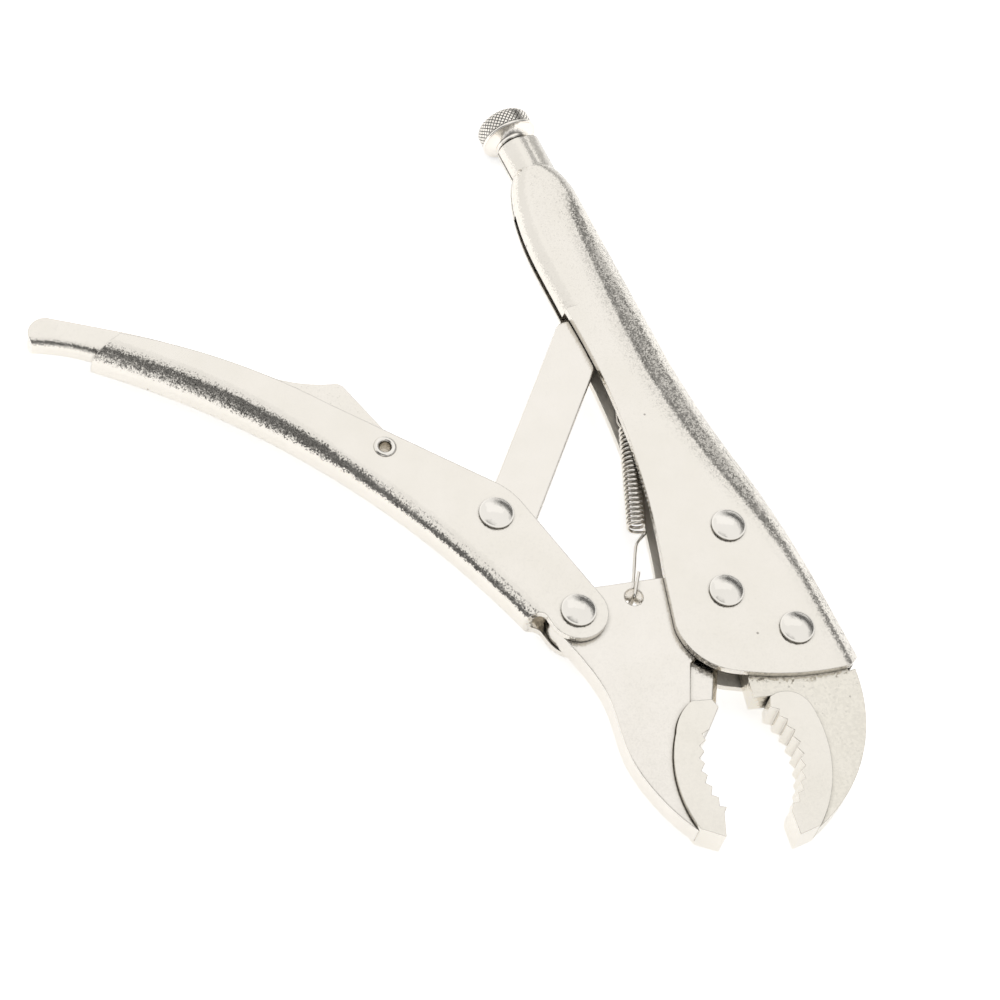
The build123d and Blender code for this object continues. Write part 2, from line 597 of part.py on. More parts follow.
with BuildPart() as release_lever:
    with BuildSketch(MID_PLANE):
        with BuildLine():
            ThreePointArc(lever_front, polar(bow_centre, lever_radius, lever_belly_angle), lever_exit)
            TangentArc(lever_exit, LEVER_TAIL_LOW, tangent=exit_way)
            Polyline(LEVER_TAIL_LOW, tail_blank, LEVER_BACK_END)
            ThreePointArc(LEVER_BACK_END, LEVER_BACK_MIDDLE, HUMP_FOOT)
            Polyline(HUMP_FOOT, plate_low, lever_front)
        make_face()
    extrude(amount=MOVING_THICKNESS / 2, both=True)
    fillet(rim_edges(release_lever, on_fold), min(LEVER_FOLD, 0.45 * MOVING_THICKNESS))
    # The tail's end is trimmed round
    with BuildSketch(MID_PLANE):
        with BuildLine():
            ThreePointArc(LEVER_TAIL_LOW, LEVER_TAIL_TIP, LEVER_TAIL_TOP)
            Polyline(
                LEVER_TAIL_TOP,
                shifted(LEVER_TAIL_TOP, -PAST, 0),
                shifted(LEVER_TAIL_TOP, -PAST, -PAST),
                (LEVER_TAIL_LOW[0], LEVER_TAIL_TOP[1] - PAST),
                LEVER_TAIL_LOW,
            )
        make_face()
    extrude(amount=MOVING_THICKNESS, both=True, mode=Mode.SUBTRACT)
    with BuildSketch(MID_PLANE):
        with BuildLine():
            Line(plate_low, HUMP_FOOT)
            ThreePointArc(HUMP_FOOT, HUMP_HOLLOW, HUMP_PEAK)
            Polyline(HUMP_PEAK, HUMP_SHOULDER, boss_top)
            ThreePointArc(boss_top, polar(LEVER_PIVOT, LEVER_BOSS, 15), boss_low)
            Line(boss_low, plate_low)
        make_face()
    extrude(amount=MOVING_THICKNESS / 2, both=True)
    # The fold is hollow and open towards the fixed handle
    with BuildSketch(MID_PLANE):
        with BuildLine():
            ThreePointArc(
                polar(bow_centre, web_top, lever_front_angle),
                polar(bow_centre, web_top, lever_belly_angle),
                polar(bow_centre, web_top, tail_angle),
            )
            Polyline(
                polar(bow_centre, web_top, tail_angle),
                shifted(LEVER_TAIL_LOW, -0.6, 2 * LEVER_SHEET),
                shifted(LEVER_TAIL_TOP, 1.3 * LEVER_SHEET, 0),
                shifted(LEVER_TAIL_TOP, 1.3 * LEVER_SHEET, PAST),
                polar(bow_centre, web_top + PAST, lever_front_angle),
                polar(bow_centre, web_top, lever_front_angle),
            )
        make_face()
    extrude(amount=lever_space, both=True, mode=Mode.SUBTRACT)
    with BuildSketch(MID_PLANE):
        with BuildLine():
            Polyline(
                bow_centre,
                polar(bow_centre, BOW_RADIUS + 2 * PAST, lever_front_angle),
                polar(bow_centre, BOW_RADIUS + 2 * PAST, notch_angle),
                close=True,
            )
        make_face()
    extrude(amount=lever_space, both=True, mode=Mode.SUBTRACT)
    with BuildSketch(MID_PLANE):
        with Locations(LEVER_PIVOT):
            Circle(EYELET_RADIUS + RUNNING_PLAY)
    extrude(amount=CHANNEL_WIDTH, both=True, mode=Mode.SUBTRACT)
release_lever.part.label = "release_lever"

# Adjusting screw: plain rod of the thread's outer diameter, from the knob to the link's nose
screw_tip_x = LINK_NOSE[0] - LINK_NOSE_RADIUS - NOSE_GAP
collar_x = NECK_END_X - KNOB_GAP
bore_end_x = collar_x - KNOB_BORE_DEPTH

with BuildPart() as adjusting_screw:
    with BuildSketch(Plane.YZ.offset(bore_end_x + KNOB_END_PLAY)):
        with Locations((SCREW_Y, MID_Z)):
            Circle(SCREW_RADIUS)
    extrude(amount=screw_tip_x - bore_end_x - KNOB_END_PLAY)
    chamfer(adjusting_screw.faces().sort_by(Axis.X)[-1].edges(), SCREW_TIP_CHAMFER)
adjusting_screw.part.label = "adjusting_screw"

# Knurled knob: collar, smooth taper, barrel and a low crown
taper_x = collar_x - KNOB_COLLAR_LENGTH
barrel_x = taper_x - KNOB_TAPER_LENGTH
crown_x = barrel_x - KNOB_BARREL_LENGTH
knob_top_x = crown_x - KNOB_CROWN_LENGTH

with BuildPart() as knurled_knob:
    with BuildSketch(MID_PLANE):
        with BuildLine():
            Polyline(
                (knob_top_x, SCREW_Y + KNOB_FLAT_RADIUS),
                (knob_top_x, SCREW_Y),
                (collar_x, SCREW_Y),
                (collar_x, SCREW_Y + KNOB_COLLAR_RADIUS),
                (taper_x, SCREW_Y + KNOB_COLLAR_RADIUS),
                (barrel_x, SCREW_Y + KNOB_RADIUS),
                (crown_x, SCREW_Y + KNOB_RADIUS),
            )
            TangentArc(
                (knob_top_x, SCREW_Y + KNOB_FLAT_RADIUS),
                (crown_x, SCREW_Y + KNOB_RADIUS),
                tangent=(0, 1),
            )
        make_face()
    revolve(axis=Axis((0, SCREW_Y, MID_Z), (1, 0, 0)))
    with BuildSketch(Plane.YZ.offset(bore_end_x)):
        with Locations((SCREW_Y, MID_Z)):
            Circle(SCREW_RADIUS + RUNNING_PLAY)
    extrude(amount=KNOB_BORE_DEPTH, mode=Mode.SUBTRACT)
knurled_knob.part.label = "knurled_knob"

# Tension spring: one wire, hooked through the jaw, wound, and hooked on the handle's tongue
coil_start = Vector(SPRING_COIL_START[0], SPRING_COIL_START[1], MID_Z)
up = Vector(0, 0, 1)
slope = SPRING_PITCH / (2 * pi)


def coil_point(angle):
    """Centre of the wire at an angle along the coil, from its lowest point."""
    reach = coil_side * sin(angle) - up * cos(angle)
    return coil_start + coil_axis * (slope * angle) + reach * SPRING_COIL_RADIUS


def coil_heading(angle):
    """Direction of the wire at an angle along the coil."""
    turn = coil_side * cos(angle) + up * sin(angle)
    return (coil_axis * slope + turn * SPRING_COIL_RADIUS).normalized()


def half_turn(start_angle, end_angle):
    """Two tangent arcs that follow the coil between two angles."""
    start, end = coil_point(start_angle), coil_point(end_angle)
    leave, arrive = coil_heading(start_angle), coil_heading(end_angle)
    span = end - start
    both = leave + arrive
    share = 2 * (1 - leave.dot(arrive))
    lean = span.dot(both)
    reach = ((lean * lean + share * span.dot(span)) ** 0.5 - lean) / share
    near, far = start + leave * reach, end - arrive * reach
    meet = (near + far) * 0.5
    TangentArc(start, meet, tangent=leave)
    TangentArc(meet, end, tangent=far - near)


wire_depth = up * (MOVING_THICKNESS / 2 + SPRING_WIRE / 2 + WIRE_JAW_GAP)
hole = Vector(SPRING_HOLE[0], SPRING_HOLE[1], MID_Z)
coil_end_angle = 2 * pi * SPRING_TURNS
lead_in = coil_point(0) - coil_heading(0) * SPRING_LEAD
lead_out = coil_point(coil_end_angle) + coil_heading(coil_end_angle) * SPRING_LEAD
leg_way = Vector(lead_in.X - hole.X, lead_in.Y - hole.Y, 0).normalized()
hook_level = anchor - up * SPRING_COIL_RADIUS
hook_reach = SHEET / 2 + SPRING_WIRE / 2 + WIRE_CLEARANCE
hook_side = HOOK_ACROSS / 2 + SPRING_WIRE / 2 + WIRE_CLEARANCE

with BuildPart() as opening_spring:
    with BuildLine() as wire_path:
        FilletPolyline(
            hole + wire_depth + leg_way * SPRING_SHORT_LEG,
            hole + wire_depth,
            hole - wire_depth,
            hole - wire_depth + leg_way * SPRING_LEVEL_LEG,
            lead_in,
            coil_point(0),
            radius=SPRING_BEND,
        )
        for turn in range(2 * SPRING_TURNS):
            half_turn(turn * pi, (turn + 1) * pi)
        FilletPolyline(
            coil_point(coil_end_angle),
            lead_out,
            hook_level + coil_axis * hook_reach + coil_side * hook_side,
            hook_level + coil_axis * hook_reach - coil_side * hook_side,
            hook_level - coil_axis * (hook_reach + SPRING_WIRE) - coil_side * hook_side,
            radius=SPRING_BEND,
        )
    spring_wire = wire_path.wire()
    with BuildSketch(Plane(spring_wire @ 0, z_dir=spring_wire % 0)):
        Circle(SPRING_WIRE / 2)
    sweep(path=spring_wire)
opening_spring.part.label = "opening_spring"

samples = 3000
spots = [spring_wire @ (step / samples) for step in range(samples + 1)]
stride = spring_wire.length / samples
apart = int(pi * SPRING_COIL_RADIUS / stride)
least = min(
    (spots[low] - spots[high]).length
    for low in range(0, samples + 1, 2)
    for high in range(low + apart, min(low + 4 * apart, samples + 1), 2)
)
print(f"spring: wire length {spring_wire.length:.1f}, least gap to itself {least - SPRING_WIRE:.2f}")

# Rivets: every one is a plain shank with a domed head above and a flat head below
head_low_z = MID_Z + CHANNEL_WIDTH / 2
top_z = head_low_z + RIVET_HEAD_HEIGHT


def upright(place):
    """Plane through a rivet's axis, its second direction up."""
    return Plane((place[0], place[1], 0), x_dir=(1, 0, 0), z_dir=(0, -1, 0))


def axis_at(place):
    """Upright axis through a point in the plane."""
    return Axis((place[0], place[1], 0), (0, 0, 1))


def rivet_section():
    """Half section of a rivet through both walls of a channel."""
    TangentArc((0, top_z), (RIVET_HEAD_RADIUS, head_low_z + RIVET_RIM), tangent=(1, 0))
    Polyline(
        (RIVET_HEAD_RADIUS, head_low_z + RIVET_RIM),
        (RIVET_HEAD_RADIUS, head_low_z),
        (RIVET_RADIUS, head_low_z),
        (RIVET_RADIUS, RIVET_FOOT_HEIGHT),
        (RIVET_HEAD_RADIUS, RIVET_FOOT_HEIGHT),
        (RIVET_HEAD_RADIUS, RIVET_EDGE),
        (RIVET_HEAD_RADIUS - RIVET_EDGE, 0),
        (0, 0),
        (0, top_z),
    )


with BuildPart() as jaw_pivot_rivet:
    with BuildSketch(upright(JAW_PIVOT)):
        with BuildLine():
            rivet_section()
        make_face()
    revolve(axis=axis_at(JAW_PIVOT))
jaw_pivot_rivet.part.label = "jaw_pivot_rivet"

with BuildPart() as jaw_rear_rivet:
    with BuildSketch(upright(REAR_RIVET)):
        with BuildLine():
            rivet_section()
        make_face()
    revolve(axis=axis_at(REAR_RIVET))
jaw_rear_rivet.part.label = "jaw_rear_rivet"

with BuildPart() as jaw_front_rivet:
    with BuildSketch(upright(FRONT_RIVET)):
        with BuildLine():
            rivet_section()
        make_face()
    revolve(axis=axis_at(FRONT_RIVET))
jaw_front_rivet.part.label = "jaw_front_rivet"

with BuildPart() as handle_rivet:
    with BuildSketch(upright(HANDLE_PIVOT)):
        with BuildLine():
            rivet_section()
        make_face()
    revolve(axis=axis_at(HANDLE_PIVOT))
handle_rivet.part.label = "handle_rivet"

with BuildPart() as link_rivet:
    with BuildSketch(upright(LINK_PIVOT)):
        with BuildLine():
            rivet_section()
        make_face()
    revolve(axis=axis_at(LINK_PIVOT))
link_rivet.part.label = "link_rivet"

# Hollow rivet of the release lever, rolled over at both ends
wall_low = MID_Z - CHANNEL_WIDTH / 2
wall_high = MID_Z + CHANNEL_WIDTH / 2
flange_round = 0.8 * EYELET_FLANGE_HEIGHT

with BuildPart() as lever_eyelet:
    with BuildSketch(upright(LEVER_PIVOT)):
        with BuildLine():
            Polyline(
                (EYELET_BORE, wall_high + EYELET_FLANGE_HEIGHT),
                (EYELET_FLANGE - flange_round, wall_high + EYELET_FLANGE_HEIGHT),
                (EYELET_FLANGE, wall_high + EYELET_FLANGE_HEIGHT - flange_round),
                (EYELET_FLANGE, wall_high),
                (EYELET_RADIUS, wall_high),
                (EYELET_RADIUS, wall_low),
                (EYELET_FLANGE, wall_low),
                (EYELET_FLANGE, wall_low - EYELET_FLANGE_HEIGHT + flange_round),
                (EYELET_FLANGE - flange_round, wall_low - EYELET_FLANGE_HEIGHT),
                (EYELET_BORE, wall_low - EYELET_FLANGE_HEIGHT),
                close=True,
            )
        make_face()
    revolve(axis=axis_at(LEVER_PIVOT))
lever_eyelet.part.label = "lever_eyelet"

os.makedirs("parts", exist_ok=True)
export_step(fixed_handle.part, "parts/fixed_handle.step")
export_step(fixed_jaw.part, "parts/fixed_jaw.step")
export_step(fixed_jaw_pad.part, "parts/fixed_jaw_pad.step")
export_step(movable_jaw.part, "parts/movable_jaw.step")
export_step(movable_jaw_pad.part, "parts/movable_jaw_pad.step")
export_step(movable_handle.part, "parts/movable_handle.step")
export_step(toggle_link.part, "parts/toggle_link.step")
export_step(release_lever.part, "parts/release_lever.step")
export_step(adjusting_screw.part, "parts/adjusting_screw.step")
export_step(knurled_knob.part, "parts/knurled_knob.step")
export_step(opening_spring.part, "parts/opening_spring.step")
export_step(jaw_pivot_rivet.part, "parts/jaw_pivot_rivet.step")
export_step(jaw_rear_rivet.part, "parts/jaw_rear_rivet.step")
export_step(jaw_front_rivet.part, "parts/jaw_front_rivet.step")
export_step(handle_rivet.part, "parts/handle_rivet.step")
export_step(link_rivet.part, "parts/link_rivet.step")
export_step(lever_eyelet.part, "parts/lever_eyelet.step")
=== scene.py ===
import math
import bmesh
import bpy
from mathutils import Matrix, Vector


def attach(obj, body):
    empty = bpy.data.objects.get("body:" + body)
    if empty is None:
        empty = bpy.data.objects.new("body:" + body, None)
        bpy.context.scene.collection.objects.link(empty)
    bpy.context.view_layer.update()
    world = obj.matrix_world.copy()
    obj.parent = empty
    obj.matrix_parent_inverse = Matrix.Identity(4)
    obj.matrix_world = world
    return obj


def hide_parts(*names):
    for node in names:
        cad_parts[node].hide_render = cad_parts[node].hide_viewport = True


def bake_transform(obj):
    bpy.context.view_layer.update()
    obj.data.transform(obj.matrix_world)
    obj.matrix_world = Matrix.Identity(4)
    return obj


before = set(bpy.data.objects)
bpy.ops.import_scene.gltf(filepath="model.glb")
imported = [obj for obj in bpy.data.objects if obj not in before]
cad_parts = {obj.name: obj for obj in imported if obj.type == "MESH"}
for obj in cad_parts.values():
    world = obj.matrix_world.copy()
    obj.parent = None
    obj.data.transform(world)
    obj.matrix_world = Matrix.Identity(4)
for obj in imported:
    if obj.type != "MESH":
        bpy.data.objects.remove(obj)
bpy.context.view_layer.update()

# Fixed handle: one blank of 2 mm steel sheet, folded over its spine into a channel, rolled nearly
# shut round the grip and swaged to a neck for the screw. Tumbled, then nickel plated, so the
# faces are satin and the folds show a fine hammered sparkle.


def mapped(tree, value, source, target, way="LINEAR"):
    """A value carried from one range to another, held at both ends."""
    scale = tree.nodes.new("ShaderNodeMapRange")
    scale.interpolation_type = way
    scale.inputs["From Min"].default_value = source[0]
    scale.inputs["From Max"].default_value = source[1]
    scale.inputs["To Min"].default_value = target[0]
    scale.inputs["To Max"].default_value = target[1]
    tree.links.new(value, scale.inputs["Value"])
    return scale.outputs["Result"]


def combined(tree, operation, first, second):
    """Two values joined by one operation."""
    total = tree.nodes.new("ShaderNodeMath")
    total.operation = operation
    tree.links.new(first, total.inputs[0])
    tree.links.new(second, total.inputs[1])
    return total.outputs["Value"]


def axes(tree, vector):
    """The X, Y and Z of a vector."""
    parts = tree.nodes.new("ShaderNodeSeparateXYZ")
    tree.links.new(vector, parts.inputs["Vector"])
    return parts.outputs


def pattern(tree, place, kind, scale):
    """A procedural pattern fixed to the piece."""
    texture = tree.nodes.new(kind)
    texture.inputs["Scale"].default_value = scale
    tree.links.new(place.outputs["Object"], texture.inputs["Vector"])
    return texture


def stained(tree, clean, stain, share):
    """A colour that gives way to a stain by a share."""
    mix = tree.nodes.new("ShaderNodeMix")
    mix.data_type = "RGBA"
    mix.inputs["B"].default_value = stain
    tree.links.new(share, mix.inputs["Factor"])
    tree.links.new(clean, mix.inputs["A"])
    return mix.outputs["Result"]


cloud_range = (0.3, 0.7)


def plate_colour(tree, place, cloud, tint):
    """Colour of the plating: faint clouds, a few dark specks, and painted shade in crevices, under sheet
    edges and along contacts.
    """
    tone = tree.nodes.new("ShaderNodeValToRGB")
    dim, full = tone.color_ramp.elements
    dim.position, full.position = cloud_range
    dim.color = (tint[0] * 0.95, tint[1] * 0.95, tint[2] * 0.94, 1.0)
    full.color = (tint[0], tint[1], tint[2], 1.0)
    tree.links.new(cloud.outputs["Fac"], tone.inputs["Fac"])

    speck_colour = (0.12, 0.105, 0.09, 1.0)
    speck_core, speck_edge, speck_strength = 0.03, 0.055, 0.6
    clean_share = 0.72
    cells = pattern(tree, place, "ShaderNodeTexVoronoi", scale=130.0)
    pick = tree.nodes.new("ShaderNodeSeparateColor")
    tree.links.new(cells.outputs["Color"], pick.inputs["Color"])
    rare = tree.nodes.new("ShaderNodeMath")
    rare.operation = "GREATER_THAN"
    rare.inputs[1].default_value = clean_share
    tree.links.new(pick.outputs["Red"], rare.inputs[0])
    dot = mapped(tree, cells.outputs["Distance"], (speck_core, speck_edge), (speck_strength, 0.0))
    speck = combined(tree, "MULTIPLY", rare.outputs["Value"], dot)
    spotted = stained(tree, tone.outputs["Color"], speck_colour, speck)

    # Painted shade: ambient occlusion darkens the colour in crevices, under sheet edges and along
    # contacts, where shade falls.
    painted_shade_colour, painted_shade_strength = (0.15, 0.14, 0.12, 1.0), 0.92
    shut_in, open_out = 0.3, 0.78
    shade_occlusion = tree.nodes.new("ShaderNodeAmbientOcclusion")
    shade_occlusion.samples = 6
    shade_occlusion.inputs["Distance"].default_value = 0.0022
    painted_crevice_shade = mapped(tree, shade_occlusion.outputs["AO"], (shut_in, open_out), (painted_shade_strength, 0.0))
    return stained(tree, spotted, painted_shade_colour, painted_crevice_shade)


def plate_surface(tree, place, grain, grain_tilt, ripple_depth, edge, crown):
    """Normal of the plating: broken edges, a crowned sheet, a faint ripple and tilted grains."""
    rounded = tree.nodes.new("ShaderNodeBevel")
    rounded.samples = 4
    rounded.inputs["Radius"].default_value = edge
    swell = pattern(tree, place, "ShaderNodeTexNoise", scale=420.0)
    swell.inputs["Detail"].default_value = 2.0
    ripple = tree.nodes.new("ShaderNodeBump")
    ripple.inputs["Distance"].default_value = ripple_depth
    tree.links.new(swell.outputs["Fac"], ripple.inputs["Height"])
    tree.links.new(rounded.outputs["Normal"], ripple.inputs["Normal"])

    facets = pattern(tree, place, "ShaderNodeTexVoronoi", scale=1.0 / grain)
    lean = tree.nodes.new("ShaderNodeVectorMath")
    lean.operation = "SUBTRACT"
    lean.inputs[1].default_value = (0.5, 0.5, 0.5)
    tree.links.new(facets.outputs["Color"], lean.inputs[0])
    slight = tree.nodes.new("ShaderNodeVectorMath")
    slight.operation = "SCALE"
    slight.inputs["Scale"].default_value = grain_tilt
    tree.links.new(lean.outputs["Vector"], slight.inputs[0])
    if crown:
        curved = tree.nodes.new("ShaderNodeBump")
        curved.inputs["Distance"].default_value = 1.0
        tree.links.new(crown(tree, place), curved.inputs["Height"])
        tree.links.new(rounded.outputs["Normal"], curved.inputs["Normal"])
        tree.links.new(curved.outputs["Normal"], ripple.inputs["Normal"])
        level = axes(tree, ripple.outputs["Normal"])["Z"]
        fold_level, flat_level, fold_tilt = 0.93, 0.995, 0.27
        tilt = mapped(tree, level, (fold_level, flat_level), (fold_tilt, grain_tilt))
        tree.links.new(tilt, slight.inputs["Scale"])
    tipped = tree.nodes.new("ShaderNodeVectorMath")
    tree.links.new(slight.outputs["Vector"], tipped.inputs[0])
    tree.links.new(ripple.outputs["Normal"], tipped.inputs[1])
    even = tree.nodes.new("ShaderNodeVectorMath")
    even.operation = "NORMALIZE"
    tree.links.new(tipped.outputs["Vector"], even.inputs[0])
    return even.outputs["Vector"]


def plated_steel(name, tint, roughness, grain, grain_tilt, ripple_depth, edge, crown=None, matt=None):
    """Nickel plate with a satin reflection. Grain, ripple and edge are in metres."""
    finish = bpy.data.materials.new(name)
    finish.use_nodes = True
    tree = finish.node_tree
    shader = tree.nodes["Principled BSDF"]
    shader.inputs["Metallic"].default_value = 1.0
    place = tree.nodes.new("ShaderNodeTexCoord")
    if matt:
        matt_shine = 0.25
        shine = mapped(tree, matt(tree, place), (0.0, 1.0), (1.0, matt_shine))
        tree.links.new(shine, shader.inputs["Metallic"])
    cloud = pattern(tree, place, "ShaderNodeTexNoise", scale=95.0)
    cloud.inputs["Detail"].default_value = 4.0
    smoothest, roughest = roughness * 0.85, roughness * 1.2
    satin = mapped(tree, cloud.outputs["Fac"], cloud_range, (smoothest, roughest))
    tree.links.new(satin, shader.inputs["Roughness"])
    tree.links.new(plate_colour(tree, place, cloud, tint), shader.inputs["Base Color"])
    surface = plate_surface(tree, place, grain, grain_tilt, ripple_depth, edge, crown)
    tree.links.new(surface, shader.inputs["Normal"])
    return finish


def shown(name, shape):
    """A new piece made from a bmesh, which is used up."""
    mesh = bpy.data.meshes.new(name)
    shape.to_mesh(mesh)
    shape.free()
    piece = bpy.data.objects.new(name, mesh)
    bpy.context.scene.collection.objects.link(piece)
    return piece


def smoothed(shape, crease_angle):
    """Rounds the shading of a bmesh, apart from edges sharper than an angle."""
    for face in shape.faces:
        face.smooth = True
    for edge in shape.edges:
        edge.smooth = len(edge.link_faces) != 2 or edge.calc_face_angle() < crease_angle


def eased(node, width):
    """A copy of a solid whose cut edges are broken by a small round, as deburring leaves them."""
    metal = bmesh.new()
    metal.from_mesh(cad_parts[node].data)
    bmesh.ops.remove_doubles(metal, verts=metal.verts, dist=2e-6)
    bmesh.ops.dissolve_limit(metal, angle_limit=0.008, verts=metal.verts, edges=metal.edges)
    cut_angle = 0.6
    sharp = [e for e in metal.edges if len(e.link_faces) == 2 and e.calc_face_angle() > cut_angle]
    bmesh.ops.bevel(
        metal, geom=sharp, offset=width, offset_type="OFFSET", affect="EDGES",
        segments=2, profile=0.5, clamp_overlap=True, material=-1,
    )
    smoothed(metal, crease_angle=0.75)
    piece = shown(node + "_finished", metal)
    level = piece.modifiers.new("flat_faces", "WEIGHTED_NORMAL")
    level.keep_sharp = True
    return piece


def fit(piece, finish, slot, body, *solids):
    """Gives a piece its finish, its body and the solids that it stands for."""
    piece.data.materials.clear()
    piece.data.materials.append(finish)
    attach(piece, body)
    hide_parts(*solids)


def spine_crown(tree, place):
    """Height of the sheet as it begins to turn down towards the fixed handle's spine."""
    spot = axes(tree, place.outputs["Object"])
    spine = mapped(tree, spot["X"], (-0.075, 0.005), (0.0189, 0.0253), "SMOOTHSTEP")
    inward = combined(tree, "SUBTRACT", spine, spot["Y"])
    behind = mapped(tree, spot["X"], (-0.125, -0.07), (0.8, 1.1), "SMOOTHSTEP")
    before = mapped(tree, spot["X"], (-0.06, 0.01), (1.0, 0.6), "SMOOTHSTEP")
    reach = combined(tree, "MULTIPLY", behind, before)
    share = combined(tree, "DIVIDE", inward, reach)
    steep = mapped(tree, share, (0.0004, 0.0085), (-0.0023, 0.0), "SMOOTHSTEP")
    gentle = mapped(tree, share, (0.003, 0.0125), (-0.0008, 0.0), "SMOOTHSTEP")
    depth = mapped(tree, spot["X"], (-0.045, 0.0), (1.0, 0.4), "SMOOTHSTEP")
    drop = combined(tree, "MULTIPLY", combined(tree, "ADD", steep, gentle), depth)
    ahead_of_neck = mapped(tree, spot["X"], (-0.138, -0.1), (0.0, 1.0), "SMOOTHSTEP")
    return combined(tree, "MULTIPLY", drop, ahead_of_neck)


def matt_places(tree, place):
    """Share of matt skin: on the swaged back of the neck and inside the channel."""
    spot = axes(tree, place.outputs["Object"])
    facing = axes(tree, tree.nodes.new("ShaderNodeNewGeometry").outputs["Normal"])
    neck = mapped(tree, spot["X"], (-0.138, -0.108), (0.9, 0.0), "SMOOTHSTEP")
    faces_back = mapped(tree, facing["Y"], (0.06, 0.24), (0.0, 1.0), "SMOOTHSTEP")
    low_wall = mapped(tree, spot["Z"], (0.0048, 0.0052), (1.0, 0.0))
    faces_up = mapped(tree, facing["Z"], (0.3, 0.6), (0.0, 1.0))
    neck_back = combined(tree, "MULTIPLY", neck, faces_back)
    inside = combined(tree, "MULTIPLY", faces_up, low_wall)
    return combined(tree, "MAXIMUM", neck_back, inside)


sheet_tint = (0.84, 0.8, 0.735)
tumbled_grain = 0.00036
spine_nickel = plated_steel(
    "spine_nickel", tint=sheet_tint, roughness=0.2, grain=tumbled_grain, grain_tilt=0.1,
    ripple_depth=0.00003, edge=0.0004, crown=spine_crown, matt=matt_places,
)
fixed_handle = eased("fixed_handle", width=0.00025)
fit(fixed_handle, spine_nickel, "plated_sheet", "fixed_handle", "fixed_handle")

# Fixed jaw: plate of drop-forged steel between the channel's walls, held by two rivets. Its
# faces keep the skin of the forging, so it is the roughest of the plated pieces.

forged_nickel = plated_steel(
    "forged_nickel", tint=(0.81, 0.77, 0.69), roughness=0.2, grain=0.0006, grain_tilt=0.24,
    ripple_depth=0.0001, edge=0.0003,
)
fixed_jaw = eased("fixed_jaw", width=0.0003)
fit(fixed_jaw, forged_nickel, "forged_plate", "fixed_handle", "fixed_jaw")

# Toothed pads: thicker inserts of hardened steel let into both jaws, ground flat on their faces,
# with saw teeth milled across the curve and plain flats at the nose.

ground_nickel = plated_steel(
    "ground_nickel", tint=(0.84, 0.8, 0.73), roughness=0.2, grain=0.0004, grain_tilt=0.06,
    ripple_depth=0.00003, edge=0.0002,
)
fixed_jaw_pad = eased("fixed_jaw_pad", width=0.0002)
fit(fixed_jaw_pad, ground_nickel, "jaw_pad", "fixed_handle", "fixed_jaw_pad")
movable_jaw_pad = eased("movable_jaw_pad", width=0.0002)
fit(movable_jaw_pad, ground_nickel, "jaw_pad", "movable_jaw", "movable_jaw_pad")

# Movable jaw: blanked steel plate that swings on the jaw pivot, milled thin in front of it for
# the wire cutter's blade and drilled behind it for the spring. Tumbled smooth before plating.

plate_nickel = plated_steel(
    "plate_nickel", tint=(0.85, 0.81, 0.75), roughness=0.18, grain=0.0004, grain_tilt=0.08,
    ripple_depth=0.00003, edge=0.0005,
)
movable_jaw = eased("movable_jaw", width=0.0003)
fit(movable_jaw, plate_nickel, "forged_plate", "movable_jaw", "movable_jaw")

# Movable handle: bowed channel of the same sheet, its spine cut short in a rounded notch where
# the jaw's heel passes. The fold is wide towards the grip and tight towards the jaw.

mid_height = 0.008
bow_centre = (0.061, -0.27101, mid_height)
bow_radius, wall_width = 0.231, 0.02


def bow_crown(tree, place):
    """Height of the sheet as it begins to turn down towards the movable handle's bowed spine."""
    centre = tree.nodes.new("ShaderNodeVectorMath")
    centre.operation = "DISTANCE"
    centre.inputs[1].default_value = bow_centre
    tree.links.new(place.outputs["Object"], centre.inputs[0])
    wall = (bow_radius, bow_radius + wall_width)
    inward = mapped(tree, centre.outputs["Value"], wall, (0.0, wall_width))
    along_tool = axes(tree, place.outputs["Object"])["X"]
    reach = mapped(tree, along_tool, (-0.105, -0.04), (1.0, 0.38), "SMOOTHSTEP")
    depth = mapped(tree, along_tool, (-0.1, -0.045), (1.0, -0.32), "SMOOTHSTEP")
    share = combined(tree, "DIVIDE", inward, reach)
    drop = mapped(tree, share, (0.0005, 0.0072), (-0.0018, 0.0), "SMOOTHSTEP")
    return combined(tree, "MULTIPLY", drop, depth)


bow_nickel = plated_steel(
    "bow_nickel", tint=sheet_tint, roughness=0.2, grain=tumbled_grain, grain_tilt=0.12,
    ripple_depth=0.00003, edge=0.0004, crown=bow_crown,
)
movable_handle = eased("movable_handle", width=0.00025)
fit(movable_handle, bow_nickel, "plated_sheet", "movable_handle", "movable_handle")

# Toggle link: flat blanked strut between the handle's link rivet and the tip of the screw. Its
# edges are tumbled rounder than the jaw's.

toggle_link = eased("toggle_link", width=0.0008)
fit(toggle_link, plate_nickel, "forged_plate", "toggle_link", "toggle_link")

# Release lever: thinner sheet folded to a narrow channel, with a hump to push against the link
# and a rounded tail that stands out of the handle's end.

lever_nickel = plated_steel(
    "lever_nickel", tint=sheet_tint, roughness=0.2, grain=tumbled_grain, grain_tilt=0.2,
    ripple_depth=0.00003, edge=0.0002,
)
release_lever = eased("release_lever", width=0.0002)
fit(release_lever, lever_nickel, "plated_sheet", "release_lever", "release_lever")

# Rivets: cold-headed pins with a low domed head above and a flat upset head below. The domes are
# polished brighter than the sheet.


